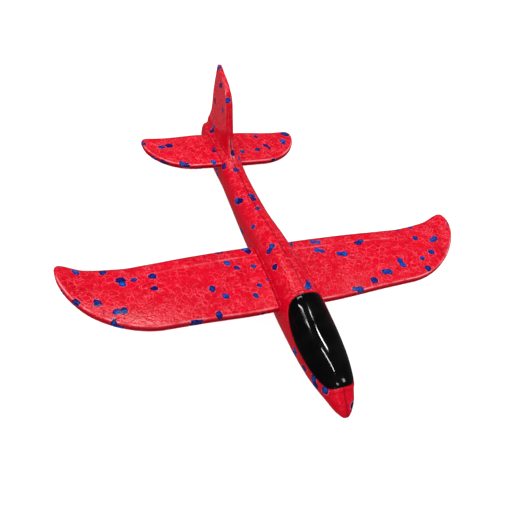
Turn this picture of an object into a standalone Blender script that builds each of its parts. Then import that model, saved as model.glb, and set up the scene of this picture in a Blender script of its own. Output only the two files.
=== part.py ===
"""A push-together hand-launch glider in bead foam, with a plastic canopy and a weight in its nose.

The nose points along -Y and +Z is up. The origin is under the middle of the airframe, at the height of
the belly. A station is a distance back from the nose tip.
"""

import math

import bmesh
import bpy
import numpy as np

MM = 0.001

# Overall sizes.
LENGTH = 341.5 * MM
WING_HALF_SPAN = 175.5 * MM
TAIL_HALF_SPAN = 81.5 * MM

# Clearance between pieces that touch on the real glider.
GAP = 0.3 * MM

# Fuselage: (station, height of the centre, half height, half width), in millimetres. The two ends
# are rounded off over END_ROUND down to a small flat, END_CUT from the full length. Whatever would
# reach below the belly is flattened.
FUSELAGE = (
    (0, 17, 4.5, 6),
    (11, 21, 7, 9.5),
    (22, 23, 11.5, 13),
    (42, 23, 16.5, 16.5),
    (68, 22.5, 20, 18),
    (96, 22, 23, 18),
    (126, 21.5, 22, 17),
    (160, 19.5, 20, 15),
    (200, 16, 16.5, 13.5),
    (240, 15.5, 15, 12.5),
    (270, 16.5, 15, 12),
    (300, 17, 13.5, 12.5),
    (322, 18.5, 11, 13),
    (341.5, 20.5, 7, 10),
)
END_ROUND = 12 * MM
END_CUT = 0.2 * MM
FUSELAGE_SQUARENESS = 2.3
FUSELAGE_RINGS = 46
FUSELAGE_SIDES = 32

# Fin outline: (station, height) in millimetres, from the foot of the leading edge round to the foot
# of the trailing edge. The foot is sunk into the fuselage.
FIN = (
    (263, 20),
    (272, 32),
    (283, 52),
    (289, 62),
    (296, 74),
    (302, 80),
    (310, 84.5),
    (319, 87.5),
    (329, 89.5),
    (336, 91),
    (339, 88.5),
    (340, 64),
    (337.5, 44),
    (336, 20),
)
FIN_THICKNESS = 7.0 * MM
FIN_EDGE_RADIUS = 2.2 * MM
FIN_CORNER_ANGLE = 60

# Wing, by distance out from the centre: (distance, trailing edge station, height of the upper
# surface at the trailing edge), in millimetres. The middle is straight and level, so that the wing
# can be pushed sideways in its slot.
WING = (
    (0, 161, 22),
    (27, 161, 22),
    (80, 155, 28),
    (110, 151, 31),
    (130, 149, 33),
    (155, 150, 36),
    (171, 153, 41.5),
    (174.5, 151, 43.5),
    (175.5, 148, 44),
)
# Its leading edge is at the first station in the middle and at the second one where it starts to
# curve back. The curve starts at a distance out, and ends so far back at the tip.
WING_FRONT = (92 * MM, 90 * MM)
WING_CURVE = (110 * MM, 55 * MM)
WING_THICKNESS = (6 * MM, 3.2 * MM)
WING_RISE = 5.3 * MM
WING_CAMBER = 3.2 * MM

# Tailplane, in the same form as the wing.
TAIL = (
    (0, 314.5, 27),
    (20, 314.5, 27),
    (60, 312.5, 26.5),
    (74, 312.5, 27),
    (79, 311, 27.5),
    (81.5, 307, 28),
)
TAIL_FRONT = (265.5 * MM, 266 * MM)
TAIL_CURVE = (35 * MM, 38 * MM)
TAIL_THICKNESS = (5.2 * MM, 3.2 * MM)
TAIL_RISE = 0.4 * MM
TAIL_CAMBER = 0.8 * MM

# Both flying surfaces curve back towards the tip nearly as an ellipse, whose power would be 2. They
# have a blunt edge, EDGE_FLAT of the thickness, with rounded corners, and they thin down over
# TIP_ROUND to TIP_SLIM of the thickness at each tip.
CURVE_POWER = 1.8
EDGE_FLAT = 0.45
EDGE_ROUND = 2.2 * MM
EDGE_ANGLES = (0, 35, 65, 90)
EDGE_CHORD_LIMIT = 0.3
TIP_ROUND = 5 * MM
TIP_SLIM = 0.3
CHORD_STEPS = 8
SPAN_STEPS = 16

# Canopy: its border is level along the sides and rises to meet the top of the nose at both ends.
CANOPY_FRONT = 17 * MM
CANOPY_MIDDLE = 50 * MM
CANOPY_BACK = 90 * MM
CANOPY_SILL = 26 * MM
CANOPY_PROUD = 0.5 * MM
CANOPY_SUNK = 0.6 * MM
CANOPY_END_SHARE = 0.02
CANOPY_ROWS = 30
CANOPY_COLUMNS = 20
RECESS_TOP = 5 * MM

# Steel slug in the nose, lying along the fuselage, in a pocket that opens into the recess.
WEIGHT_RADIUS = 5 * MM
WEIGHT_CHAMFER = 0.5 * MM
WEIGHT_SIDES = 32
WEIGHT_STATIONS = (34 * MM, 56 * MM)
WEIGHT_HEIGHT = 30 * MM
POCKET_TOP = 65 * MM

SMOOTH_ANGLE = 40


def material(name, colour, roughness, metallic=0.0):
    made = bpy.data.materials.new(name)
    made.use_nodes = True
    shader = made.node_tree.nodes["Principled BSDF"]
    shader.inputs["Base Color"].default_value = (*colour, 1.0)
    shader.inputs["Roughness"].default_value = roughness
    shader.inputs["Metallic"].default_value = metallic
    return made


def smooth_curve(rows):
    """A function of the first column that passes smoothly through every row without overshooting."""
    table = np.array(rows, dtype=float) * MM
    at = table[:, 0]
    values = table[:, 1:]
    step = np.diff(at)[:, None]
    slope = np.diff(values, axis=0) / step
    tangent = np.zeros_like(values)
    product = slope[:-1] * slope[1:]
    total = slope[:-1] + slope[1:]
    same_way = product > 0
    tangent[1:-1][same_way] = 2 * product[same_way] / total[same_way]
    tangent[0] = slope[0]
    tangent[-1] = slope[-1]

    def value(x):
        x = min(max(x, at[0]), at[-1])
        i = min(int(np.searchsorted(at, x, side="right")) - 1, len(at) - 2)
        width = at[i + 1] - at[i]
        t = (x - at[i]) / width
        start = values[i] * (1 + 2 * t) * (1 - t) ** 2 + values[i + 1] * t * t * (3 - 2 * t)
        return start + width * (tangent[i] * t * (1 - t) ** 2 - tangent[i + 1] * t * t * (1 - t))

    return value


def planform(rows, front, curve):
    """A function of the distance out, for a flying surface: the stations of its leading and trailing
    edges, and the height of its upper surface at the trailing edge."""
    behind = smooth_curve(rows)
    inner = rows[1][0] * MM
    half_span = rows[-1][0] * MM
    start, sweep = curve

    def value(x):
        back, height = behind(x)
        straight = min(max((x - inner) / (start - inner), 0.0), 1.0)
        bend = min(max((x - start) / (half_span - start), 0.0), 1.0)
        swept = sweep * (1 - (1 - bend ** CURVE_POWER) ** (1 / CURVE_POWER))
        return front[0] + (front[1] - front[0]) * straight + swept, back, height

    return value


fuselage_at = smooth_curve(FUSELAGE)
wing_at = planform(WING, WING_FRONT, WING_CURVE)
tail_at = planform(TAIL, TAIL_FRONT, TAIL_CURVE)


def along(station):
    return station - LENGTH / 2


def fuselage_section(station):
    """Height of the centre, half height and half width of the fuselage, with its ends rounded."""
    centre, half_height, half_width = fuselage_at(station)
    to_end = min(station, LENGTH - station)
    inward = min(max(to_end / END_ROUND, 0.0), 1.0)
    rounding = math.sqrt(1 - (1 - inward) ** 2)
    return centre, half_height * rounding, half_width * rounding


def on_fuselage(station, angle, outward=0.0):
    """A point on the fuselage's skin. The angle runs from +X up over the top."""
    centre, half_height, half_width = fuselage_section(station)
    power = 2 / FUSELAGE_SQUARENESS
    across = math.copysign(abs(math.cos(angle)) ** power, math.cos(angle))
    up = math.copysign(abs(math.sin(angle)) ** power, math.sin(angle))
    height = centre + (half_height + outward) * up
    return (half_width + outward) * across, along(station), max(height, 0.0)


def new_object(name, points, faces, look):
    """An object from points and faces, its origin at the middle of its box."""
    points = np.array(points)
    middle = (points.min(axis=0) + points.max(axis=0)) / 2
    mesh = bpy.data.meshes.new(name)
    mesh.from_pydata([tuple(point) for point in points - middle], [], faces)
    mesh.materials.append(look)
    made = bpy.data.objects.new(name, mesh)
    made.location = middle
    bpy.context.collection.objects.link(made)
    shape = bmesh.new()
    shape.from_mesh(mesh)
    bmesh.ops.recalc_face_normals(shape, faces=shape.faces)
    shape.to_mesh(mesh)
    shape.free()
    return made


def skin(name, rings, look):
    """A closed solid lofted through rings of equal length, with both ends capped."""
    count = len(rings[0])
    points = [point for ring in rings for point in ring]
    faces = [tuple(range(count)), tuple(range(len(points) - count, len(points)))]
    for i in range(len(rings) - 1):
        for j in range(count):
            a = i * count + j
            b = i * count + (j + 1) % count
            faces.append((a, b, b + count, a + count))
    return new_object(name, points, faces, look)


def smooth_shading(made):
    made.data.shade_smooth()
    made.data.set_sharp_from_angle(angle=math.radians(SMOOTH_ANGLE))


def cutter(made):
    made.hide_render = True
    made.display_type = "WIRE"


def boolean(target, other, operation):
    modifier = target.modifiers.new(other.name, "BOOLEAN")
    modifier.operation = operation
    modifier.solver = "EXACT"
    modifier.object = other


def fuselage_body(look):
    """The fuselage without its fin, slots and recess."""
    angles = [2 * math.pi * j / FUSELAGE_SIDES for j in range(FUSELAGE_SIDES)]
    rings = []
    for i in range(FUSELAGE_RINGS + 1):
        share = (1 - math.cos(math.pi * i / FUSELAGE_RINGS)) / 2
        station = END_CUT + (LENGTH - 2 * END_CUT) * share
        rings.append([on_fuselage(station, angle) for angle in angles])
    return skin("fuselage", rings, look)


def fin_blade(look):
    """The fin, as its outline drawn out to its thickness with rounded edges."""
    sides = [[(x, along(station * MM), height * MM) for station, height in FIN]
             for x in (-FIN_THICKNESS / 2, FIN_THICKNESS / 2)]
    made = skin("fin_blade", sides, look)
    bevel = made.modifiers.new("rounded_edges", "BEVEL")
    bevel.width = FIN_EDGE_RADIUS
    bevel.segments = 3
    bevel.limit_method = "ANGLE"
    bevel.angle_limit = math.radians(FIN_CORNER_ANGLE)
    return made


def edge_share(inside):
    """Share of the full thickness at a distance inside an edge: blunt, with rounded corners."""
    bend = min(inside / EDGE_ROUND, 1.0)
    return EDGE_FLAT + (1 - EDGE_FLAT) * math.sqrt(1 - (1 - bend) ** 2)


def surface_ring(x, front, back, height, thickness, rise, camber, slim=1.0, grow=0.0):
    """One closed cross-section of a flying surface, round from the back along the top."""
    chord = back - front
    radius = min(EDGE_ROUND, EDGE_CHORD_LIMIT * chord)
    corner = [radius * (1 - math.cos(math.radians(angle))) for angle in EDGE_ANGLES]
    flat = chord - 2 * radius
    between = [radius + flat * i / CHORD_STEPS for i in range(1, CHORD_STEPS)]
    places = corner + between + [chord - inside for inside in reversed(corner)]
    upper = []
    lower = []
    for place in places:
        share = place / chord
        top = height + rise * (1 - share) + 4 * camber * share * (1 - share)
        full = thickness[0] + (thickness[1] - thickness[0]) * share
        half = slim * full / 2
        reach = half * edge_share(min(place, chord - place)) + grow
        middle = top - full / 2
        station = front - grow + (chord + 2 * grow) * share
        upper.append((x, along(station), middle + reach))
        lower.append((x, along(station), middle - reach))
    return upper[::-1] + lower


def flying_surface(name, at, rows, half_span, thickness, rise, camber, look):
    """A wing or tailplane, tip to tip."""
    inner = rows[1][0] * MM
    reach = half_span - inner
    turns = [math.pi / 2 * i / SPAN_STEPS for i in range(SPAN_STEPS + 1)]
    outward = [inner + reach * math.sin(turn) for turn in turns]
    distances = [-x for x in reversed(outward)] + [0.0] + outward
    rings = []
    for x in distances:
        front, back, height = at(abs(x))
        near_tip = max(abs(x) - (half_span - TIP_ROUND), 0.0) / TIP_ROUND
        slim = TIP_SLIM + (1 - TIP_SLIM) * math.sqrt(max(1 - near_tip ** 2, 0.0))
        share = (back - front) / (at(0)[1] - at(0)[0])
        rings.append(surface_ring(x, front, back, height, thickness, rise * share, camber * share, slim))
    return skin(name, rings, look)


def slot_cutter(name, at, rows, thickness, rise, camber, look):
    """The straight middle of a flying surface with clearance all round, to cut its slot."""
    front, back, height = at(0.0)
    reach = rows[1][0] * MM
    rings = [surface_ring(x, front, back, height, thickness, rise, camber, grow=GAP)
             for x in (-reach, reach)]
    made = skin(name, rings, look)
    cutter(made)
    return made


def canopy_border(station):
    """Height of the canopy's border at a station."""
    if station < CANOPY_MIDDLE:
        share = (CANOPY_MIDDLE - station) / (CANOPY_MIDDLE - CANOPY_FRONT)
        end = CANOPY_FRONT
    else:
        share = (station - CANOPY_MIDDLE) / (CANOPY_BACK - CANOPY_MIDDLE)
        end = CANOPY_BACK
    centre, half_height, _ = fuselage_section(end)
    climb = centre + half_height - CANOPY_SILL
    return CANOPY_SILL + climb * (1 - math.sqrt(max(1 - share ** 2, 0.0)))


def nose_shell(name, outer, inner, grow, look):
    """A patch of the nose's skin inside the canopy's border, from one depth to another."""
    middle = (CANOPY_FRONT + CANOPY_BACK) / 2
    grids = []
    for outward in (outer, inner):
        grid = []
        for i in range(CANOPY_ROWS + 1):
            turn = CANOPY_END_SHARE + (1 - 2 * CANOPY_END_SHARE) * i / CANOPY_ROWS
            share = (1 - math.cos(math.pi * turn)) / 2
            station = CANOPY_FRONT + (CANOPY_BACK - CANOPY_FRONT) * share
            centre, half_height, _ = fuselage_section(station)
            lift = (canopy_border(station) - grow - centre) / half_height
            start = math.asin(min(lift, 0.999) ** (FUSELAGE_SQUARENESS / 2))
            stretched = station + grow * (station - middle) / (CANOPY_BACK - middle)
            turns = [j / CANOPY_COLUMNS for j in range(CANOPY_COLUMNS + 1)]
            angles = [start + (math.pi - 2 * start) * turn for turn in turns]
            grid.append([on_fuselage(stretched, angle, outward) for angle in angles])
        grids.append(grid)
    width = CANOPY_COLUMNS + 1
    size = width * (CANOPY_ROWS + 1)
    points = [point for grid in grids for row in grid for point in row]
    faces = []
    for i in range(CANOPY_ROWS):
        for j in range(CANOPY_COLUMNS):
            a = i * width + j
            faces.append((a, a + 1, a + 1 + width, a + width))
            faces.append((a + size, a + width + size, a + 1 + width + size, a + 1 + size))
        for a in (i * width, i * width + CANOPY_COLUMNS):
            faces.append((a, a + width, a + width + size, a + size))
    for row in (0, CANOPY_ROWS):
        for j in range(CANOPY_COLUMNS):
            a = row * width + j
            faces.append((a, a + 1, a + 1 + size, a + size))
    return new_object(name, points, faces, look)


def nose_weight(look):
    """The steel slug, a short rod along the fuselage."""
    front, back = WEIGHT_STATIONS
    end_radius = WEIGHT_RADIUS - WEIGHT_CHAMFER
    profile = (
        (front, end_radius),
        (front + WEIGHT_CHAMFER, WEIGHT_RADIUS),
        (back - WEIGHT_CHAMFER, WEIGHT_RADIUS),
        (back, end_radius),
    )
    angles = [2 * math.pi * j / WEIGHT_SIDES for j in range(WEIGHT_SIDES)]
    rings = [[(radius * math.cos(angle), along(station), WEIGHT_HEIGHT + radius * math.sin(angle))
              for angle in angles]
             for station, radius in profile]
    return skin("nose_weight", rings, look)


def weight_pocket(look):
    """The pocket for the slug, open upwards into the canopy's recess."""
    front, back = WEIGHT_STATIONS
    half = WEIGHT_RADIUS + GAP
    corners = ((-half, front - GAP), (half, front - GAP), (half, back + GAP), (-half, back + GAP))
    rings = [[(x, along(station), height) for x, station in corners]
             for height in (WEIGHT_HEIGHT - half, POCKET_TOP)]
    made = skin("weight_pocket", rings, look)
    cutter(made)
    return made


def build():
    for old in list(bpy.data.objects):
        bpy.data.objects.remove(old, do_unlink=True)

    foam = material("red_bead_foam", (0.80, 0.012, 0.04), 0.55)
    black = material("black_gloss_plastic", (0.006, 0.006, 0.007), 0.12)
    steel = material("bare_steel", (0.55, 0.55, 0.55), 0.35, 1.0)

    fuselage = fuselage_body(foam)
    fin = fin_blade(foam)
    cutter(fin)
    wing_shape = (WING_THICKNESS, WING_RISE, WING_CAMBER, foam)
    tail_shape = (TAIL_THICKNESS, TAIL_RISE, TAIL_CAMBER, foam)
    wing_slot = slot_cutter("wing_slot", wing_at, WING, *wing_shape)
    tail_slot = slot_cutter("tail_slot", tail_at, TAIL, *tail_shape)
    recess = nose_shell("canopy_recess", RECESS_TOP, -CANOPY_SUNK - GAP, GAP, foam)
    cutter(recess)
    boolean(fuselage, fin, "UNION")
    for shape in (wing_slot, tail_slot, recess, weight_pocket(foam)):
        boolean(fuselage, shape, "DIFFERENCE")

    wing = flying_surface("wing", wing_at, WING, WING_HALF_SPAN, *wing_shape)
    tail = flying_surface("tailplane", tail_at, TAIL, TAIL_HALF_SPAN, *tail_shape)
    canopy = nose_shell("canopy", CANOPY_PROUD, -CANOPY_SUNK, 0.0, black)
    slug = nose_weight(steel)
    for made in (fuselage, wing, tail, canopy, slug):
        smooth_shading(made)


build()
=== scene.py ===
"""Looks of a push-together glider in bead foam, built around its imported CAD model.

Metres throughout. The nose points along -Y, +Z is up, and a station is a distance back from the nose
tip. The foam pieces are fine meshes with their mould lines and bead relief in the geometry.
"""

import math

import bmesh
import bpy
import numpy as np
from mathutils import Matrix, Vector


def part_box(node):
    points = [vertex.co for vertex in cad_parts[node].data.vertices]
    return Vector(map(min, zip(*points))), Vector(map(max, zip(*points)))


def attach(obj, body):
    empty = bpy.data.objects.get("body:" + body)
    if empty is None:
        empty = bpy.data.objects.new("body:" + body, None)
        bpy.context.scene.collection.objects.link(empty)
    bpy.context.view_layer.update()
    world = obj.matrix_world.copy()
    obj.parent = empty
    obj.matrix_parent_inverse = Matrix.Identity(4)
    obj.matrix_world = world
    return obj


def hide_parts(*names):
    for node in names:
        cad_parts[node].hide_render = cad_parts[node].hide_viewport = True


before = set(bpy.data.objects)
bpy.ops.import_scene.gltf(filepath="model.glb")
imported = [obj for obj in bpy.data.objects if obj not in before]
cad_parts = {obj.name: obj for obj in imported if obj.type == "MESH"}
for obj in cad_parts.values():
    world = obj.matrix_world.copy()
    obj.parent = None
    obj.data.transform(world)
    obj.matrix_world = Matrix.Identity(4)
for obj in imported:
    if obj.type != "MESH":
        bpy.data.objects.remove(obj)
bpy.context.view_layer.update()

MM = 0.001

# Driving sizes, from the frame. The fuselage there is cut off by END_CUT at either end.
fuselage_low, fuselage_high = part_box("fuselage")
NOSE = fuselage_low.y
END_CUT = 0.2 * MM
LENGTH = fuselage_high.y - fuselage_low.y + 2 * END_CUT
WING_HALF_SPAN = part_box("wing")[1].x
TAIL_HALF_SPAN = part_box("tailplane")[1].x

# Fuselage: (station, height of the centre, half height, half width), in millimetres.
FUSELAGE = (
    (0, 17, 4.5, 6),
    (11, 21, 7, 9.5),
    (22, 23, 11.5, 13),
    (42, 23, 16.5, 16.5),
    (68, 22.5, 20, 18),
    (96, 22, 23, 18),
    (126, 21.5, 22, 17),
    (160, 19.5, 20, 15),
    (200, 16, 16.5, 13.5),
    (240, 15.5, 15, 12.5),
    (270, 16.5, 15, 12),
    (300, 17, 13.5, 12.5),
    (322, 18.5, 11, 13),
    (341.5, 20.5, 7, 10),
)
END_ROUND = 12 * MM
# Its section is nearly round ahead of the first of the SHOULDERS stations, and squarer behind the
# second.
SQUARENESS = 2.3
TAIL_SQUARENESS = 3.8
SHOULDERS = (248 * MM, 290 * MM)

# Fin outline: (station, height) in millimetres, from the foot of the leading edge round the top to
# the foot of the trailing edge.
FIN = (
    (263, 20),
    (272, 32),
    (283, 52),
    (289, 62),
    (296, 74),
    (302, 80),
    (310, 84.5),
    (319, 87.5),
    (329, 89.5),
    (336, 91),
    (339, 88.5),
    (340, 64),
    (337.5, 44),
    (336, 20),
)
FIN_HALF_THICKNESS = 3.5 * MM
FIN_EDGE_RADIUS = 2.4 * MM
# The fillet at its foot changes from the first size to the second between two stations. The fin is
# worked out only behind FIN_START and above FIN_FOOT.
FIN_FILLET = (8 * MM, 2 * MM)
FILLET_CHANGE = (295 * MM, 328 * MM)
FIN_START = 250 * MM
FIN_FOOT = 15 * MM

# Matt panel on each side of the fin, in the same form. It runs out past the fin's rear edge.
FIN_PANEL = (
    (286.5, 51.5),
    (294, 63.5),
    (300, 75.5),
    (307, 82),
    (319, 86.5),
    (345, 96),
    (345, 31),
    (322, 32),
    (304, 39),
)

# Wing and tailplane: (distance out, trailing edge station, height of the upper surface at the trailing
# edge), in millimetres.
WING = (
    (0, 161, 22),
    (27, 161, 22),
    (80, 155, 28),
    (110, 151, 31),
    (130, 149, 33),
    (155, 150, 36),
    (171, 153, 41.5),
    (174.5, 151, 43.5),
    (175.5, 148, 44),
)
# Station of the leading edge in the middle and where it starts to curve back. Then the distance out
# where that curve starts, and how far back it ends at the tip.
WING_FRONT = (92 * MM, 90 * MM)
WING_CURVE = (110 * MM, 55 * MM)
TAIL = (
    (0, 314.5, 27),
    (20, 314.5, 27),
    (60, 312.5, 26.5),
    (74, 312.5, 27),
    (79, 311, 27.5),
    (81.5, 307, 28),
)
TAIL_FRONT = (265.5 * MM, 266 * MM)
TAIL_CURVE = (35 * MM, 38 * MM)
# Section of each: its thickness in front and at the back, its rise to the front, and its camber.
WING_SECTION = ((6 * MM, 3.2 * MM), 5.3 * MM, 3.2 * MM)
TAIL_SECTION = ((5.2 * MM, 3.2 * MM), 0.4 * MM, 0.8 * MM)
CURVE_POWER = 1.8
EDGE_FLAT = 0.6
EDGE_ROUND = 2.0 * MM
EDGE_CHORD_LIMIT = 0.32
TIP_ROUND = 5 * MM
TIP_SLIM = 0.3
# Size of a mesh cell, and the share by which the cells crowd together towards the tips.
CELL = 0.8 * MM
TIP_CROWDING = 0.25

# Canopy border: level along the sides, rising to the top of the nose at both ends.
CANOPY_FRONT = 17 * MM
CANOPY_MIDDLE = 50 * MM
CANOPY_BACK = 90 * MM
CANOPY_SILL = 26 * MM
CANOPY_PROUD = 0.5 * MM
CANOPY_SUNK = 0.6 * MM
# Its mesh starts a small share of its length in from either end. Its upper side stands CANOPY_CROWN
# above the skin, and curves down over CANOPY_EDGE to end CANOPY_DIP below it.
CANOPY_MESH = (150, 110)
CANOPY_END_SHARE = 0.012
CANOPY_EDGE = 1.3 * MM
CANOPY_DIP = 0.25 * MM
CANOPY_CROWN = CANOPY_PROUD + 0.1 * MM

# Moulded details of the foam. A pair is where a detail fades in or out, as two stations, heights or
# distances. STEP_BLUR is half the width of a step, FACING how squarely the skin has to face up or
# sideways. A shade is how strongly painted shade darkens a detail, and a polish how strongly a detail is
# polished and lightened with a painted highlight.
STEP_BLUR = 0.4 * MM
FACING = (0.3, 0.8)
SEAM_DEPTH = 0.6 * MM
SEAM_WIDTH = 0.6 * MM
SEAM_FADE = (42 * MM, 56 * MM)
SEAM_SHADE = 0.8
FLASH_HEIGHT = 0.4 * MM
FLASH_OFFSET = 1.3 * MM
FLASH_WIDTH = 0.6 * MM
FLASH_START = (262 * MM, 275 * MM)
FLASH_FADE = (40 * MM, 50 * MM)
FLASH_POLISH_AND_HIGHLIGHT = 0.8
NOSE_END = 105 * MM
RIM_WIDTH = 3.0 * MM
RIM_HEIGHT = 0.5 * MM
RIM_RISE = 0.7 * MM
JOINT_WIDTH = 0.5 * MM
JOINT_DEPTH = 0.3 * MM
SEAT_DEPTH = 1.4 * MM
SEAT_EDGE = (0.5 * MM, 1.4 * MM)
PANEL_INSET = 0.7 * MM
PANEL_EDGE = (-0.3 * MM, 0.6 * MM)
PANEL_FOOT = (31 * MM, 35 * MM)
PANEL_START = 270 * MM
PANEL_LOW = 30 * MM
PANEL_CENTRE = 0.8 * MM
BORDER_OFFSET = 0.7 * MM
BORDER_WIDTH = 0.5 * MM
BORDER_START = (58 * MM, 68 * MM)
FIN_TAPER = 1.0 * MM
FIN_TAPER_RUN = (300 * MM, 341 * MM)
SPINE_HEIGHT = 1.6 * MM
SPINE_START = (246 * MM, 275 * MM)
SPINE_SIDE = (1 * MM, 5 * MM)
SPINE_TOP = 45 * MM
HOLLOW_DEPTH = 1.4 * MM
HOLLOW_START = (262 * MM, 285 * MM)
HOLLOW_OFFSET = 6.3 * MM
HOLLOW_WIDTH = 2.2 * MM

# Lips round the slots. Each has its width and its strength.
WING_LIP = (3.0 * MM, 1.0)
TAIL_LIP = (1.6 * MM, 0.35)
LIP_HEIGHT = 0.5 * MM
LIP_INNER = 6 * MM
LIP_REACH = 8 * MM
LIP_GROOVE = 0.5 * MM
LIP_GROOVE_DEPTH = 0.4 * MM
LIP_GROOVE_SHADE = 0.4
ROOT_WIDTH = 0.6 * MM
ROOT_SHADE = 0.6

# Edge of wing and tailplane, with a groove along its middle, which is full where half the thickness
# reaches GROOVE_NEEDS. Then the crease along the wing's rear, with its fade as shares of the half span.
GROOVE_DEPTH = 0.8 * MM
GROOVE_WIDTH = 0.65 * MM
GROOVE_NEEDS = 1.6 * MM
# The polishes mark edges and a crease that are polished and lightened with a painted highlight.
# REAR_SHADE is painted shade along the rear edge, and REAR_GROOVE the share of painted shade in its
# groove.
LOWER_POLISH_AND_HIGHLIGHT = 0.4
REAR_SHADE = 0.4
REAR_SHADE_WIDTH = 1.2 * MM
REAR_GROOVE = 0.6
REAR_POLISH_AND_HIGHLIGHT = 0.2
CREASE_HEIGHT = 0.35 * MM
CREASE_INSET = 12 * MM
CREASE_WIDTH = 0.7 * MM
CREASE_FADE = (0.55, 0.75)
CREASE_POLISH_AND_HIGHLIGHT = 0.4

# Fuselage mesh: its voxels, and the small steps that bring it back onto the true skin.
VOXEL = 0.74 * MM
SETTLE_ROUNDS = 6
SETTLE_STEP = 0.3 * MM
SLOPE_STEP = 0.05 * MM
LEAST_SLOPE = 0.2

# Foam beads. A blue one has BEAD_CORNERS or up to two more, a size in millimetres between the two of
# BEAD_SIZES, and ends BEAD_DEPTH below the skin. Some lie in twos, TWIN_DISTANCE apart.
BEADS_PER_METRE = 190
BEAD_WOBBLE = 2.6 * MM
BEAD_RELIEF = 0.07 * MM
BEADS_IN_TWOS = 0.35
TWIN_DISTANCE = (4.3 * MM, 5.2 * MM)
BEAD_SPACING = 8.5 * MM
BEAD_REACH = 6 * MM
BEAD_DEPTH = 2.6 * MM
BEAD_SIZES = (1.9, 2.9)
BEAD_CORNERS = 5
BEAD_STRETCH = 0.28
BEAD_BLUR = 0.35 * MM
BEAD_DENT = 0.10 * MM
BEAD_BULGE = 0.06 * MM

# Lights whose reflections show in the canopy stand this far from it.
STRIP_DISTANCE = 0.9

# Camera, by the place it stands and the way it looks.
CAMERA_PLACE = (-0.1695, -0.2601, 0.3325)
CAMERA_AZIMUTH = -32.75
CAMERA_ELEVATION = 47.47
CAMERA_ROLL = 16.87
CAMERA_LENS = 34.61


# Shape functions.

def smooth_curve(rows):
    """A function of the first column that passes smoothly through every row without overshooting.
    It takes a number or an array, and gives one row of values for each."""
    table = np.array(rows, dtype=float) * MM
    at = table[:, 0]
    values = table[:, 1:]
    slope = np.diff(values, axis=0) / np.diff(at)[:, None]
    tangent = np.zeros_like(values)
    product = slope[:-1] * slope[1:]
    total = slope[:-1] + slope[1:]
    same_way = product > 0
    tangent[1:-1][same_way] = 2 * product[same_way] / total[same_way]
    tangent[0] = slope[0]
    tangent[-1] = slope[-1]

    def value(x):
        x = np.clip(np.atleast_1d(x), at[0], at[-1])
        i = np.clip(np.searchsorted(at, x, side="right") - 1, 0, len(at) - 2)
        width = (at[i + 1] - at[i])[:, None]
        t = (x - at[i])[:, None] / width
        start = values[i] * (1 + 2 * t) * (1 - t) ** 2 + values[i + 1] * t * t * (3 - 2 * t)
        bend = tangent[i] * t * (1 - t) ** 2 - tangent[i + 1] * t * t * (1 - t)
        return start + width * bend

    return value


def planform(rows, front, curve):
    """A function of the distance out, for a flying surface: the stations of its leading and trailing
    edges, and the height of its upper surface at the trailing edge, in a row for each distance."""
    behind = smooth_curve(rows)
    inner = rows[1][0] * MM
    half_span = rows[-1][0] * MM
    start, sweep = curve

    def value(x):
        x = np.atleast_1d(x)
        straight = np.clip((x - inner) / (start - inner), 0, 1)
        bend = np.clip((x - start) / (half_span - start), 0, 1)
        swept = sweep * (1 - (1 - bend ** CURVE_POWER) ** (1 / CURVE_POWER))
        leading = front[0] + (front[1] - front[0]) * straight + swept
        return np.column_stack([leading, behind(x)])

    return value


fuselage_at = smooth_curve(FUSELAGE)
wing_at = planform(WING, WING_FRONT, WING_CURVE)
tail_at = planform(TAIL, TAIL_FRONT, TAIL_CURVE)


def along(station):
    return NOSE - END_CUT + station


def smooth_step(value, low, high):
    """0 below low, 1 above high, and a smooth rise between."""
    t = np.clip((value - low) / (high - low), 0, 1)
    return t * t * (3 - 2 * t)


def line(distance, width):
    """1 on a line and fading to 0 about one width away."""
    return np.exp(-(distance / width) ** 2)


def fuselage_section(station):
    """Height of the centre, half height and half width of the fuselage, with its ends rounded."""
    rows = fuselage_at(station)
    to_end = np.minimum(station, LENGTH - station)
    inward = np.clip(to_end / END_ROUND, 0.0, 1.0)
    rounding = np.sqrt(1 - (1 - inward) ** 2)
    return rows[:, 0], rows[:, 1] * rounding, rows[:, 2] * rounding


def squareness(station):
    """How square the fuselage's section is: nearly round, but with full shoulders at the tail."""
    share = smooth_step(station, *SHOULDERS)
    return SQUARENESS + (TAIL_SQUARENESS - SQUARENESS) * share


def on_fuselage(station, angle, outward=0.0):
    """Points on the fuselage's skin. The angle runs from +X up over the top."""
    station = np.atleast_1d(station)
    centre, half_height, half_width = fuselage_section(station)
    power = 2 / squareness(station)
    across = np.sign(np.cos(angle)) * np.abs(np.cos(angle)) ** power
    up = np.sign(np.sin(angle)) * np.abs(np.sin(angle)) ** power
    height = centre + (half_height + outward) * up
    y = np.broadcast_to(along(station), height.shape)
    return np.stack([(half_width + outward) * across, y, np.maximum(height, 0.0)], axis=1)


def rounded_outline(points, steps=8):
    """A closed outline curved smoothly through its points, for a shape with no true corners."""
    points = np.array(points, dtype=float) * MM
    count = len(points)
    made = []
    for i in range(count):
        before, start, end, after = (points[(i + k) % count] for k in (-1, 0, 1, 2))
        for t in np.arange(steps) / steps:
            made.append(0.5 * (2 * start + (end - before) * t
                               + (2 * before - 5 * start + 4 * end - after) * t ** 2
                               + (3 * start - before - 3 * end + after) * t ** 3))
    return np.array(made)


fin_outline = rounded_outline(FIN)


def outline_distance(points, outline):
    """Signed distance of each point in the plane to a closed outline, negative inside."""
    ends = np.roll(outline, -1, axis=0)
    nearest = np.full(len(points), 1e9)
    inside = np.zeros(len(points), dtype=bool)
    for start, end in zip(outline, ends, strict=True):
        edge = end - start
        offset = points - start
        t = np.clip(offset @ edge / (edge @ edge), 0, 1)
        nearest = np.minimum(nearest, np.linalg.norm(offset - t[:, None] * edge, axis=1))
        crosses = (start[1] > points[:, 1]) != (end[1] > points[:, 1])
        if start[1] != end[1]:
            cut = start[0] + (points[:, 1] - start[1]) * edge[0] / edge[1]
            inside ^= crosses & (points[:, 0] < cut)
    return np.where(inside, -nearest, nearest)


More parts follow.
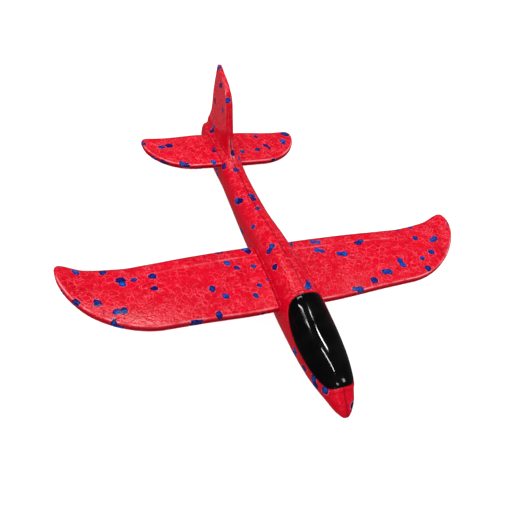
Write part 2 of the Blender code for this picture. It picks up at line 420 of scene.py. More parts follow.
def body_distance(points):
    """About the distance to the skin of the fuselage without its fin, negative inside."""
    x, y, z = points.T
    centre, half_height, half_width = fuselage_section(y - along(0.0))
    power = squareness(y - along(0.0))
    half_height = np.maximum(half_height, 0.3 * MM)
    half_width = np.maximum(half_width, 0.3 * MM)
    reach = np.hypot(x, z - centre)
    size = np.abs(x / half_width) ** power + np.abs((z - centre) / half_height) ** power
    size = np.maximum(size, 1e-9) ** (1 / power)
    return np.maximum(reach - reach / size, -z)


def fin_distance(points):
    """Distance to the skin of the fin, a plate with rounded edges, negative inside."""
    x, y, z = points.T
    flat = outline_distance(np.stack([y - along(0.0), z], axis=1), fin_outline)
    across = np.abs(x) - FIN_HALF_THICKNESS
    round_x = np.maximum(across + FIN_EDGE_RADIUS, 0)
    round_flat = np.maximum(flat + FIN_EDGE_RADIUS, 0)
    inner = np.minimum(np.maximum(across, flat) + FIN_EDGE_RADIUS, 0)
    return np.hypot(round_x, round_flat) + inner - FIN_EDGE_RADIUS


def airframe_distance(points):
    """Distance to the skin of fuselage and fin, with a fillet where they meet."""
    body = body_distance(points)
    made = body.copy()
    near = (points[:, 1] > along(FIN_START)) & (points[:, 2] > FIN_FOOT)
    fin = fin_distance(points[near])
    back = smooth_step(points[near, 1], along(FILLET_CHANGE[0]), along(FILLET_CHANGE[1]))
    fillet = FIN_FILLET[0] + (FIN_FILLET[1] - FIN_FILLET[0]) * back
    blend = np.clip(0.5 + 0.5 * (fin - body[near]) / fillet, 0, 1)
    made[near] = fin + (body[near] - fin) * blend - fillet * blend * (1 - blend)
    return made


# Mesh helpers.

def new_object(name, data):
    """An object in the scene, for a mesh, a light or a camera."""
    made = bpy.data.objects.new(name, data)
    bpy.context.scene.collection.objects.link(made)
    return made


def new_piece(name, points, faces, look):
    """A smooth-shaded mesh object, its faces turned outwards."""
    mesh = bpy.data.meshes.new(name)
    mesh.from_pydata(np.asarray(points).tolist(), [], faces)
    tidy = bmesh.new()
    tidy.from_mesh(mesh)
    bmesh.ops.recalc_face_normals(tidy, faces=tidy.faces)
    tidy.to_mesh(mesh)
    tidy.free()
    mesh.shade_smooth()
    mesh.materials.append(look)
    return new_object(name, mesh)


def points_of(mesh):
    flat = np.empty(len(mesh.vertices) * 3)
    mesh.vertices.foreach_get("co", flat)
    return flat.reshape(-1, 3)


def normals_of(mesh):
    flat = np.empty(len(mesh.vertices) * 3)
    mesh.vertex_normals.foreach_get("vector", flat)
    return flat.reshape(-1, 3)


def set_points(mesh, points):
    mesh.vertices.foreach_set("co", np.ascontiguousarray(points).ravel())
    mesh.update()


def set_values(mesh, name, values):
    """Keep one number for each of the mesh's points, for its material to read."""
    attribute = mesh.attributes.new(name, "FLOAT", "POINT")
    attribute.data.foreach_set("value", np.asarray(values, dtype=np.float32))


def loft_faces(rings, count):
    """Quads between rings of points, each closed round on itself, and a cap on either end."""
    i, j = np.meshgrid(np.arange(rings - 1), np.arange(count), indexing="ij")
    a = (i * count + j).ravel()
    b = (i * count + (j + 1) % count).ravel()
    quads = np.stack([a, b, b + count, a + count], axis=1).tolist()
    last = (rings - 1) * count
    return [*quads, list(range(count)), list(range(last, last + count))]


def apply_modifiers(made):
    """Replace the object's mesh by what its modifiers make of it."""
    graph = bpy.context.evaluated_depsgraph_get()
    finished = bpy.data.meshes.new_from_object(made.evaluated_get(graph))
    made.modifiers.clear()
    made.data = finished


# Foam pieces.

def canopy_border(station):
    """Height of the canopy's border at each station."""
    front = (CANOPY_MIDDLE - station) / (CANOPY_MIDDLE - CANOPY_FRONT)
    back = (station - CANOPY_MIDDLE) / (CANOPY_BACK - CANOPY_MIDDLE)
    ahead = station < CANOPY_MIDDLE
    share = np.clip(np.where(ahead, front, back), 0, 1)
    centre, half_height, _ = fuselage_section(np.array([CANOPY_FRONT, CANOPY_BACK]))
    top = centre + half_height
    climb = np.where(ahead, top[0], top[1]) - CANOPY_SILL
    return CANOPY_SILL + climb * (1 - np.sqrt(1 - share ** 2))


def canopy_distance(points):
    """Distance from each point to the canopy's border, negative inside it."""
    turn = np.linspace(0, math.pi, 400)
    station = CANOPY_FRONT + (CANOPY_BACK - CANOPY_FRONT) * (1 - np.cos(turn)) / 2
    centre, half_height, half_width = fuselage_section(station)
    height = canopy_border(station)
    up = np.clip((height - centre) / half_height, 0, 1)
    across = half_width * (1 - up ** SQUARENESS) ** (1 / SQUARENESS)
    border = np.stack([across, along(station), height], axis=1)
    mirrored = np.abs(points[:, 0])
    nearest = np.full(len(points), 1e9)
    for place in border:
        offset = points - place
        offset[:, 0] = mirrored - place[0]
        nearest = np.minimum(nearest, (offset ** 2).sum(axis=1))
    nearest = np.sqrt(nearest)
    own_station = points[:, 1] - along(0.0)
    within = (own_station > CANOPY_FRONT) & (own_station < CANOPY_BACK)
    inside = within & (points[:, 2] > canopy_border(own_station))
    return np.where(inside, -nearest, nearest)


def root_outline(curve, thickness, rise, camber):
    """The outline of a flying surface at its root, in the plane of station and height."""
    front, back, height = curve(0.0)[0]
    share = np.linspace(0, 1, 40)
    station = front + (back - front) * share
    top = height + rise * (1 - share) + 4 * camber * share * (1 - share)
    full = thickness[0] + (thickness[1] - thickness[0]) * share
    upper = np.stack([station, top], axis=1)
    lower = np.stack([station, top - full], axis=1)
    return np.concatenate([upper, lower[::-1]])


# Each of these four adds a detail to out, how far the fuselage's points stand out, and the first two
# add painted shade to the colour where points lie in a narrow groove.

def add_canopy_seat(points, station, out, painted_shade):
    """The canopy's seat: a low rim round it, a narrow joint with painted shade in it, and the skin sunk
    beneath it.
    """
    nose = station < NOSE_END
    border = np.full(len(points), 1.0)
    border[nose] = canopy_distance(points[nose])
    rim_end = 1 - smooth_step(border, RIM_WIDTH - STEP_BLUR, RIM_WIDTH + STEP_BLUR)
    out += RIM_HEIGHT * smooth_step(border, 0.0, RIM_RISE) * rim_end
    joint = line(border, JOINT_WIDTH)
    painted_shade[:] = np.maximum(painted_shade, joint)
    out -= JOINT_DEPTH * joint
    out -= SEAT_DEPTH * smooth_step(-border, *SEAT_EDGE)


def add_slot_lips(x, side, out, painted_shade):
    """A raised lip round each slot, with painted shade at its root and in a shallow groove outside it."""
    station = side[:, 0]
    for curve, section, (width, strength) in ((wing_at, WING_SECTION, WING_LIP),
                                              (tail_at, TAIL_SECTION, TAIL_LIP)):
        shape = root_outline(curve, *section)
        near = (np.abs(x) > LIP_INNER) & (station > shape[:, 0].min() - LIP_REACH)
        near &= station < shape[:, 0].max() + LIP_REACH
        away = outline_distance(side[near], shape)
        lip = LIP_HEIGHT * strength * (1 - smooth_step(away, width - STEP_BLUR, width + STEP_BLUR))
        root = ROOT_SHADE * line(np.maximum(away, 0), ROOT_WIDTH)
        groove = LIP_GROOVE_SHADE * strength * line(away - width - LIP_GROOVE, LIP_GROOVE)
        out[near] += lip - LIP_GROOVE_DEPTH * groove
        painted_shade[near] = np.maximum(painted_shade[near], np.maximum(root, groove))


def add_fin_panel(x, side, normals, out):
    """The fin's matt inset panels, and its taper to the rear. It returns, both from 0 to 1, how far
    each point belongs to a panel and how far to the polished border round it, lightened with a painted
    highlight."""
    station, z = side.T
    near = (station > PANEL_START) & (z > PANEL_LOW) & (np.abs(x) > PANEL_CENTRE)
    away = outline_distance(side[near], np.array(FIN_PANEL) * MM)
    sideways = smooth_step(np.abs(normals[near, 0]), *FACING)
    foot = smooth_step(z[near], *PANEL_FOOT)
    inset = smooth_step(-away, *PANEL_EDGE)
    taper = FIN_TAPER * smooth_step(station[near], *FIN_TAPER_RUN)
    out[near] -= sideways * foot * (PANEL_INSET * inset + taper)
    panel, border = np.zeros((2, len(x)))
    panel[near] = sideways * foot * inset
    edge = line(away - BORDER_OFFSET, BORDER_WIDTH) * smooth_step(z[near], *BORDER_START)
    border[near] = sideways * edge
    return panel, border


def add_spine(x, side, normals, out):
    """The raised spine along the top of the tail, and a hollow on either side of it."""
    station, z = side.T
    low = (z < SPINE_TOP) * smooth_step(normals[:, 2], *FACING)
    spine = smooth_step(station, *SPINE_START) * (1 - smooth_step(np.abs(x), *SPINE_SIDE))
    out += SPINE_HEIGHT * spine * low
    hollow = smooth_step(station, *HOLLOW_START) * line(np.abs(x) - HOLLOW_OFFSET, HOLLOW_WIDTH)
    out -= HOLLOW_DEPTH * hollow * low


def fuselage_details(points, normals):
    """How far each point of the fuselage stands out from the plain shape, along its normal. Then, all
    from 0 to 1, how strongly painted shade darkens it in a narrow groove, how far it belongs to the fin's
    matt panel and how far to the polished lines, which are lightened with a painted highlight: the
    moulding flash beside the seam and the panel's border."""
    x, y, z = points.T
    station = y - along(0.0)
    side = np.stack([station, z], axis=1)
    seam = line(x, SEAM_WIDTH) * (1 - smooth_step(z, *SEAM_FADE))
    painted_shade = SEAM_SHADE * seam
    out = -SEAM_DEPTH * seam
    flash = smooth_step(station, *FLASH_START) * line(np.abs(x) - FLASH_OFFSET, FLASH_WIDTH)
    flash *= 1 - smooth_step(z, *FLASH_FADE)
    out += FLASH_HEIGHT * flash
    add_canopy_seat(points, station, out, painted_shade)
    add_slot_lips(x, side, out, painted_shade)
    panel, border = add_fin_panel(x, side, normals, out)
    add_spine(x, side, normals, out)
    return out, painted_shade, panel, np.maximum(FLASH_POLISH_AND_HIGHLIGHT * flash, border)


def fuselage_blank():
    """Fuselage and fin as two plain closed shells, before they are remeshed into one."""
    rings, sides = 300, 120
    station = END_CUT + (LENGTH - 2 * END_CUT) * (1 - np.cos(np.linspace(0, math.pi, rings))) / 2
    angles = 2 * math.pi * np.arange(sides) / sides
    body = np.concatenate([on_fuselage(np.full(sides, place), angles) for place in station])
    faces = loft_faces(rings, sides)
    count = len(fin_outline)
    plates = [np.column_stack([np.full(count, x), along(fin_outline[:, 0]), fin_outline[:, 1]])
              for x in (-FIN_HALF_THICKNESS, FIN_HALF_THICKNESS)]
    base = len(body)
    fin_faces = [[corner + base for corner in face] for face in loft_faces(2, count)]
    return np.concatenate([body, *plates]), faces + fin_faces


def settled(points):
    """The points moved onto the airframe's true skin, in small steps down the slope of the distance."""
    steps = np.eye(3) * SLOPE_STEP
    for _ in range(SETTLE_ROUNDS):
        here = airframe_distance(points)
        slope = np.stack([(airframe_distance(points + step) - airframe_distance(points - step))
                          / (2 * SLOPE_STEP) for step in steps], axis=1)
        steep = np.maximum((slope ** 2).sum(axis=1), LEAST_SLOPE)
        move = -slope * (here / steep)[:, None]
        length = np.linalg.norm(move, axis=1)
        points = points + move * np.minimum(1, SETTLE_STEP / np.maximum(length, 1e-12))[:, None]
    return points


def fuselage_piece(look):
    points, faces = fuselage_blank()
    made = new_piece("foam_fuselage", points, faces, look)
    remesh = made.modifiers.new("one_skin", "REMESH")
    remesh.mode = "VOXEL"
    remesh.voxel_size = VOXEL
    apply_modifiers(made)
    points = settled(points_of(made.data))
    set_points(made.data, points)
    normals = normals_of(made.data)
    out, painted_shade, panel, polish_and_highlight = fuselage_details(points, normals)
    set_points(made.data, points + normals * out[:, None])
    made.data.shade_smooth()
    set_values(made.data, "painted_shade", painted_shade)
    set_values(made.data, "panel", panel)
    set_values(made.data, "polish_and_highlight", polish_and_highlight)
    return made


def edge_profile(radius, half):
    """A blunt edge from its top corner down to its bottom one: (distance in, height) pairs. Then, for
    each, how strongly painted shade darkens it in the groove and how far it belongs to the polished line
    on the top corner, which is lightened with a painted highlight."""
    turns = np.radians(np.linspace(90, 0, 7))
    inside = radius * (1 - np.cos(turns))
    height = half * (EDGE_FLAT + (1 - EDGE_FLAT) * np.sin(turns))
    face = np.linspace(1, -1, 9)[1:-1] * EDGE_FLAT * half
    groove = GROOVE_DEPTH * line(face, GROOVE_WIDTH) * min(1.0, half / GROOVE_NEEDS)
    upper = np.stack([inside, height], axis=1)
    middle = np.stack([groove, face], axis=1)
    lower = upper[::-1] * (1, -1)
    marks = np.zeros((len(upper) + len(middle) + len(lower), 2))
    marks[len(upper):-len(lower), 0] = groove / GROOVE_DEPTH
    marks[:len(upper), 1] = line(np.arange(len(upper)) - 1.5, 0.8)
    marks[-len(lower), 1] = LOWER_POLISH_AND_HIGHLIGHT
    return np.concatenate([upper, middle, lower]), marks


def surface_ring(x, row, lean, half_span, root_chord, section, crease):
    """One closed section of a flying surface, round from the back along the top. Then, for each of its
    points, the two marks that edge_profile gives."""
    front, back, height = row
    thickness, rise, camber = section
    chord = back - front
    full_share = chord / root_chord
    near_tip = max(abs(x) - (half_span - TIP_ROUND), 0.0) / TIP_ROUND
    slim = TIP_SLIM + (1 - TIP_SLIM) * math.sqrt(max(1 - near_tip ** 2, 0.0))

    def surface(inside, offset):
        share = inside / chord
        top = height + full_share * (rise * (1 - share) + 4 * camber * share * (1 - share))
        full = thickness[0] + (thickness[1] - thickness[0]) * share
        return np.stack([front + inside, top - full / 2 + slim * offset], axis=-1)

    ends = []
    for full, slope in zip(thickness, lean, strict=True):
        profile, marks = edge_profile(EDGE_ROUND, full / 2)
        inside = np.minimum(profile[:, 0] * math.hypot(1, slope), EDGE_CHORD_LIMIT * chord)
        ends.append((inside, profile[:, 1], marks))
    (front_in, front_up, front_marks), (back_in, back_up, back_marks) = ends
    middle = np.linspace(front_in[0], chord - back_in[0], int(root_chord / CELL) + 1)[1:-1]
    half = (thickness[0] + (thickness[1] - thickness[0]) * middle / chord) / 2
    fade = 1 - smooth_step(abs(x), CREASE_FADE[0] * half_span, CREASE_FADE[1] * half_span)
    ridge = crease * fade * line(middle - (chord - CREASE_INSET), CREASE_WIDTH)
    ring = np.concatenate([
        surface(middle[::-1], (half + ridge)[::-1]),
        surface(front_in, front_up),
        surface(middle, -half),
        surface(chord - back_in[::-1], back_up[::-1]),
    ])
    upper, lower = np.zeros((2, len(middle), 2))
    # Painted shade along the top of the rear edge, and the crease polished and lightened with a painted
    # highlight.
    upper[:, 0] = REAR_SHADE * line(chord - middle[::-1], REAR_SHADE_WIDTH)
    upper[:, 1] = CREASE_POLISH_AND_HIGHLIGHT * ridge[::-1] / max(crease, 1e-9)
    back_marks[:, 0] = np.maximum(REAR_GROOVE * back_marks[:, 0], REAR_SHADE)
    back_marks[:, 1] *= REAR_POLISH_AND_HIGHLIGHT
    marks = np.concatenate([upper, front_marks, lower, back_marks[::-1]])
    return np.column_stack([np.full(len(ring), x), along(ring[:, 0]), ring[:, 1]]), marks


def surface_piece(name, curve, half_span, section, crease, look):
    """A wing or tailplane from tip to tip, with a grooved blunt edge all round."""
    shares = np.linspace(0, 1, int(half_span / CELL) + 1)
    crowded = (1 - TIP_CROWDING) * shares + TIP_CROWDING * np.sin(shares * math.pi / 2)
    outward = half_span * crowded
    places = np.concatenate([-outward[:0:-1], outward])
    rows = curve(np.abs(places))
    root_chord = (rows[:, 1] - rows[:, 0]).max()
    ahead = curve(np.abs(places) + MM / 2) - curve(np.abs(places) - MM / 2)
    rings = [surface_ring(x, row, lean, half_span, root_chord, section, crease)
             for x, row, lean in zip(places, rows, ahead[:, :2] / MM, strict=True)]
    points = np.concatenate([ring for ring, _ in rings])
    made = new_piece(name, points, loft_faces(len(rings), len(rings[0][0])), look)
    painted_shade, polish_and_highlight = np.concatenate([marks for _, marks in rings]).T
    set_values(made.data, "painted_shade", painted_shade)
    set_values(made.data, "polish_and_highlight", polish_and_highlight)
    return made


def point_areas(mesh):
    """The share of the mesh's area that belongs to each point."""
    area = np.empty(len(mesh.polygons))
    mesh.polygons.foreach_get("area", area)
    size = np.empty(len(mesh.polygons), dtype=int)
    mesh.polygons.foreach_get("loop_total", size)
    corner = np.empty(len(mesh.loops), dtype=int)
    mesh.loops.foreach_get("vertex_index", corner)
    made = np.zeros(len(mesh.vertices))
    np.add.at(made, corner, np.repeat(area / size, size))
    return made


def bead_centres(points, areas, normals, area_each, chance):
    """Where the blue beads lie: spread over the piece at random, some of them in twos."""
    centres = []
    count = int(areas.sum() / area_each)
    for index in chance.choice(len(points), size=count, p=areas / areas.sum()):
        if any(np.linalg.norm(points[index] - place) < BEAD_SPACING for place, _ in centres):
            continue
        centres.append((points[index], normals[index]))
        if chance.random() < BEADS_IN_TWOS:
            near = np.linalg.norm(points - points[index], axis=1)
            ring = np.flatnonzero((near > TWIN_DISTANCE[0]) & (near < TWIN_DISTANCE[1])
                                  & (normals @ normals[index] > 0.6))
            if len(ring):
                other = ring[chance.integers(len(ring))]
                centres.append((points[other], normals[other]))
    return centres


def mark_skin(piece):
    """Mark how squarely the skin faces up or down, less near the nose: where the painted crease
    highlights and the dark flecks show, fading on the sides.
    """
    flat = np.abs(normals_of(piece.data)[:, 2])
    nose = smooth_step(points_of(piece.data)[:, 1], along(10 * MM), along(60 * MM))
    set_values(piece.data, "sparkle_and_fleck_mask", (0.25 + 0.75 * nose) * smooth_step(flat, 0.15, 0.85))


def blue_beads(piece, area_each, seed):
    """Mark the blue beads: for each point its distance inside one, and that bead's own tone."""
    chance = np.random.default_rng(seed)
    mesh = piece.data
    points, normals = points_of(mesh), normals_of(mesh)
    inside = np.full(len(points), -2 * MM)
    tone = np.zeros(len(points))
    areas = point_areas(mesh)
    for place, up in bead_centres(points, areas, normals, area_each, chance):
        offset = points - place
        near = np.flatnonzero((offset ** 2).sum(axis=1) < BEAD_REACH ** 2)
        near = near[normals[near] @ up > -0.3]
        offset = offset[near]
        side = np.cross(up, chance.normal(size=3))
        side /= np.linalg.norm(side)
        plane = np.stack([offset @ side, offset @ np.cross(up, side)], axis=1)
        corners = BEAD_CORNERS + chance.integers(3)
        turns = 2 * math.pi * (np.arange(corners) + chance.uniform(-0.25, 0.25, corners)) / corners
        size = chance.uniform(*BEAD_SIZES) * MM
        reach = size * chance.uniform(0.85, 1.15, corners) * (1 + BEAD_STRETCH * np.cos(turns) ** 2)
        sides = plane @ np.stack([np.cos(turns), np.sin(turns)]) - reach
        blob = -BEAD_BLUR * np.log(np.exp(sides / BEAD_BLUR).sum(axis=1))
        blob = np.minimum(blob, BEAD_DEPTH - np.abs(offset @ up))
        better = blob > inside[near]
        inside[near[better]] = blob[better]
        tone[near[better]] = chance.random()
    set_values(mesh, "blue_inside", inside / MM)
    set_values(mesh, "blue_tone", tone)
    dent = BEAD_DENT * line(inside, 0.4 * MM) - BEAD_BULGE * smooth_step(inside, 0, 1.5 * MM)
    set_points(mesh, points - normals * dent[:, None])


def bead_pattern(tree, place):
    """The beads at a place: the nodes that give each bead's own random colour, and the distance to
    the border between two beads. It serves the mesh and the material alike."""
    wobble = tree.nodes.new("ShaderNodeTexNoise")
    wobble.inputs["Scale"].default_value = 320
    wobble.inputs["Detail"].default_value = 1.0
    centred = tree.nodes.new("ShaderNodeVectorMath")
    centred.operation = "MULTIPLY_ADD"
    centred.inputs[1].default_value = [BEAD_WOBBLE] * 3
    centred.inputs[2].default_value = [-BEAD_WOBBLE / 2] * 3
    moved = tree.nodes.new("ShaderNodeVectorMath")
    bead = tree.nodes.new("ShaderNodeTexVoronoi")
    border = tree.nodes.new("ShaderNodeTexVoronoi")
    border.feature = "DISTANCE_TO_EDGE"
    tree.links.new(place, wobble.inputs["Vector"])
    tree.links.new(wobble.outputs["Color"], centred.inputs[0])
    tree.links.new(place, moved.inputs[0])
    tree.links.new(centred.outputs[0], moved.inputs[1])
    for cells in (bead, border):
        cells.inputs["Scale"].default_value = BEADS_PER_METRE
        tree.links.new(moved.outputs[0], cells.inputs["Vector"])
    return bead, border


def map_range(tree, value, low, high, to_low=0.0, to_high=1.0):
    node = tree.nodes.new("ShaderNodeMapRange")
    node.interpolation_type = "SMOOTHSTEP"
    for socket, number in zip(("From Min", "From Max", "To Min", "To Max"),
                              (low, high, to_low, to_high), strict=True):
        node.inputs[socket].default_value = number
    tree.links.new(value, node.inputs["Value"])
    return node.outputs["Result"]


def bead_relief():
    """Geometry nodes that sink the mesh a little along the borders between beads."""
    tree = bpy.data.node_groups.new("bead_relief", "GeometryNodeTree")
    tree.interface.new_socket("Geometry", in_out="INPUT", socket_type="NodeSocketGeometry")
    tree.interface.new_socket("Geometry", in_out="OUTPUT", socket_type="NodeSocketGeometry")
    start = tree.nodes.new("NodeGroupInput")
    end = tree.nodes.new("NodeGroupOutput")
    place = tree.nodes.new("GeometryNodeInputPosition")
    normal = tree.nodes.new("GeometryNodeInputNormal")
    move = tree.nodes.new("GeometryNodeSetPosition")
    border = bead_pattern(tree, place.outputs[0])[1]
    depth = map_range(tree, border.outputs["Distance"], 0.0, 0.16, -BEAD_RELIEF, 0.0)
    scaled = tree.nodes.new("ShaderNodeVectorMath")
    scaled.operation = "SCALE"
    tree.links.new(normal.outputs[0], scaled.inputs[0])
    tree.links.new(depth, scaled.inputs["Scale"])
    tree.links.new(scaled.outputs[0], move.inputs["Offset"])
    tree.links.new(start.outputs[0], move.inputs["Geometry"])
    tree.links.new(move.outputs[0], end.inputs[0])
    return tree


# Canopy.

def canopy_grid(rows, columns):
    """A grid of points on the nose inside the canopy's border, row by row from the front."""
    grid = []
    for i in range(rows + 1):
        turn = CANOPY_END_SHARE + (1 - 2 * CANOPY_END_SHARE) * i / rows
        station = CANOPY_FRONT + (CANOPY_BACK - CANOPY_FRONT) * (1 - math.cos(math.pi * turn)) / 2
        centre, half_height, _ = (part[0] for part in fuselage_section(np.array([station])))
        lift = (canopy_border(np.array([station]))[0] - centre) / half_height
        start = math.asin(min(lift, 0.9995) ** (SQUARENESS / 2))
        angles = start + (math.pi - 2 * start) * (1 - np.cos(np.linspace(0, math.pi, columns + 1))) / 2
        grid.append(on_fuselage(np.full(columns + 1, station), angles))
    return np.concatenate(grid)


def nose_normals(points):
    """The outward normals of the nose's skin at points on it."""
    station = points[:, 1] - along(0.0)
    middle, half_height, half_width = fuselage_section(station)
    across = points[:, 0] / half_width
    up = np.abs((points[:, 2] - middle) / half_height)
    normal = np.stack([np.sign(across) * np.abs(across) ** (SQUARENESS - 1) / half_width,
                       np.zeros(len(points)),
                       up ** (SQUARENESS - 1) / half_height], axis=1)
    angle = np.arctan2(up ** (SQUARENESS / 2), np.sign(across) * np.abs(across) ** (SQUARENESS / 2))
    tangent = on_fuselage(station + SLOPE_STEP, angle) - points
    normal -= tangent * ((normal * tangent).sum(axis=1) / (tangent ** 2).sum(axis=1))[:, None]
    return normal / np.linalg.norm(normal, axis=1)[:, None]


def canopy_piece(look):
    """The canopy as a thin closed shell: a grid on its upper side, one below it, and a wall between."""
    rows, columns = CANOPY_MESH
    base = canopy_grid(rows, columns)
    inward = np.maximum(-canopy_distance(base + (0, 0, 1e-6)), 0)
    normal = nose_normals(base)
    bend = np.clip(inward / CANOPY_EDGE, 0, 1)
    outer = -CANOPY_DIP + (CANOPY_CROWN + CANOPY_DIP) * np.sqrt(1 - (1 - bend) ** 2)
    points = np.concatenate([base + normal * outer[:, None], base - normal * CANOPY_SUNK])
    size = len(base)
    width = columns + 1
    i, j = np.meshgrid(np.arange(rows), np.arange(columns), indexing="ij")
    a = (i * width + j).ravel()
    top = np.stack([a, a + 1, a + 1 + width, a + width], axis=1)
    faces = np.concatenate([top, top[:, ::-1] + size]).tolist()
    edge = [*range(width), *range(2 * width - 1, size, width),
            *range(size - 2, size - width - 1, -1), *range(size - 2 * width, 0, -width)]
    for here, after in zip(edge, edge[1:] + edge[:1], strict=True):
        faces.append([here, after, after + size, here + size])
    return new_piece("black_canopy", points, faces, look)


# Materials.

def new_material(name):
    made = bpy.data.materials.new(name)
    made.use_nodes = True
    return made, made.node_tree, made.node_tree.nodes["Principled BSDF"]


def mix_colour(tree, factor, first, second):
    """A mix of two colours. Each is a colour or the output of a node."""
    node = tree.nodes.new("ShaderNodeMix")
    node.data_type = "RGBA"
    tree.links.new(factor, node.inputs["Factor"])
    for socket, colour in ((node.inputs[6], first), (node.inputs[7], second)):
        if isinstance(colour, tuple):
            socket.default_value = (*colour, 1.0)
        else:
            tree.links.new(colour, socket)
    return node.outputs[2]


def calculate(tree, operation, first, second):
    node = tree.nodes.new("ShaderNodeMath")
    node.operation = operation
    for socket, value in zip(node.inputs, (first, second), strict=False):
        if isinstance(value, (int, float)):
            socket.default_value = value
        else:
            tree.links.new(value, socket)
    return node.outputs[0]


def noise(tree, place, scale, detail=2.0):
    node = tree.nodes.new("ShaderNodeTexNoise")
    node.inputs["Scale"].default_value = scale
    node.inputs["Detail"].default_value = detail
    tree.links.new(place, node.inputs["Vector"])
    return node.outputs["Fac"]


def value_of(tree, name):
    node = tree.nodes.new("ShaderNodeAttribute")
    node.attribute_name = name
    return node.outputs["Fac"]


def add_bump(tree, shader, height, strength, distance):
    bump = tree.nodes.new("ShaderNodeBump")
    bump.inputs["Strength"].default_value = strength
    bump.inputs["Distance"].default_value = distance
    tree.links.new(height, bump.inputs["Height"])
    tree.links.new(bump.outputs[0], shader.inputs["Normal"])


def bead_foam():
    """Red bead foam with scattered blue beads, painted highlights along its creases, painted shade in its
    grooves and a slightly shiny skin.
    """
    made, tree, shader = new_material("red_bead_foam")
    place = tree.nodes.new("ShaderNodeTexCoord").outputs["Object"]

    def times(first, second):
        return calculate(tree, "MULTIPLY", first, second)

    def mixed(factor, first, second):
        return mix_colour(tree, factor, first, second)

    def patches(scale, detail, low, high, least=0.0, most=1.0):
        """Noise as soft patches: least where it is under low, and most where it is over high."""
        return map_range(tree, noise(tree, place, scale, detail), low, high, least, most)

    bead, border = bead_pattern(tree, place)
    channels = tree.nodes.new("ShaderNodeSeparateColor")
    tree.links.new(bead.outputs["Color"], channels.inputs[0])
    red = mixed(channels.outputs[1], (0.65, 0.0, 0.013), (0.74, 0.0, 0.019))
    sparkle_and_fleck_mask = value_of(tree, "sparkle_and_fleck_mask")
    fleck = times(patches(700, 2.0, 0.52, 0.64, 0.0, 0.8), patches(40, 1.0, 0.42, 0.58, 0.15, 1.0))
    red = mixed(times(fleck, sparkle_and_fleck_mask), red, (0.38, 0.0, 0.006))
    panel = value_of(tree, "panel")
    # A paler pink tone on the fin's matt panels: painted sheen. The panels are also rougher below.
    red = mixed(times(panel, patches(800, 2.0, 0.42, 0.58, 0.2, 1.0)), red, (0.95, 0.050, 0.085))
    red = mixed(times(panel, patches(430, 2.0, 0.58, 0.66, 0.0, 0.7)), red, (0.30, 0.0, 0.012))

    crease = tree.nodes.new("ShaderNodeTexVoronoi")
    crease.feature = "DISTANCE_TO_EDGE"
    crease.inputs["Scale"].default_value = 360
    tree.links.new(bead.inputs["Vector"].links[0].from_socket, crease.inputs["Vector"])
    thin = map_range(tree, crease.outputs["Distance"], 0.01, 0.055, 1.0, 0.0)
    thin = times(thin, patches(170, 1.0, 0.48, 0.58))
    seam = map_range(tree, border.outputs["Distance"], 0.01, 0.042, 1.0, 0.0)
    seam = times(seam, patches(110, 1.0, 0.44, 0.54, 0.15, 1.0))
    crease_lines = times(calculate(tree, "MAXIMUM", thin, seam), sparkle_and_fleck_mask)
    # Painted highlights along the bead creases, on skin facing up or down.
    red = mixed(times(crease_lines, 0.75), red, (0.95, 0.085, 0.135))
    polish_and_highlight = value_of(tree, "polish_and_highlight")
    # Painted highlight on the polished lines, which are also smoother below.
    red = mixed(times(polish_and_highlight, patches(90, 3.0, 0.40, 0.60, 0.2, 0.9)), red, (0.98, 0.38, 0.45))

    tone = value_of(tree, "blue_tone")
    inside = value_of(tree, "blue_inside")
    navy = mixed(tone, (0.004, 0.004, 0.12), (0.002, 0.05, 0.44))
    # Lighter patches in the paler blue beads: painted highlights.
    navy = mixed(times(patches(520, 1.0, 0.46, 0.62, 0.0, 0.7), tone), navy, (0.010, 0.20, 0.75))
    navy = mixed(map_range(tree, inside, 0.2, 1.2, 0.9, 0.0), navy, (0.004, 0.001, 0.04))
    halo = times(map_range(tree, inside, -0.8, -0.25), patches(400, 1.0, 0.45, 0.62, 0.0, 0.5))
    red = mixed(halo, red, (0.62, 0.22, 0.48))
    colour = mixed(map_range(tree, inside, -0.12, 0.12), red, navy)
    # Painted shade in the grooves, at the slot roots and along the rear edges.
    colour = mixed(times(value_of(tree, "painted_shade"), 0.9), colour, (0.10, 0.0, 0.002))
    tree.links.new(colour, shader.inputs["Base Color"])

    dull = calculate(tree, "ADD", patches(120, 2.0, 0.35, 0.65, 0.15, 0.21), times(panel, 0.3))
    dull = calculate(tree, "SUBTRACT", dull, times(polish_and_highlight, 0.08))
    tree.links.new(dull, shader.inputs["Roughness"])
    shader.inputs["Specular IOR Level"].default_value = 0.20

    height = calculate(tree, "ADD", times(crease_lines, 0.5), times(noise(tree, place, 560, 2.0), 1.3))
    height = times(height, map_range(tree, polish_and_highlight, 0.2, 0.7, 1.0, 0.2))
    add_bump(tree, shader, height, 1.0, 0.13 * MM)
    return made


def black_plastic():
    """Deep black vacuum-formed plastic, with faint smudges and slow waves in its gloss."""
    made, tree, shader = new_material("black_gloss_plastic")
    place = tree.nodes.new("ShaderNodeTexCoord").outputs["Object"]
    smudge = map_range(tree, noise(tree, place, 90, 3.0), 0.4, 0.7, 0.0, 1.0)
    colour = mix_colour(tree, smudge, (0.0008, 0.0008, 0.001), (0.002, 0.002, 0.0024))
    tree.links.new(colour, shader.inputs["Base Color"])
    tree.links.new(map_range(tree, smudge, 0.0, 1.0, 0.04, 0.08), shader.inputs["Roughness"])
    shader.inputs["IOR"].default_value = 1.33
    shader.inputs["Specular IOR Level"].default_value = 0.35
    add_bump(tree, shader, noise(tree, place, 60, 1.0), 0.2, 0.4 * MM)
    return made


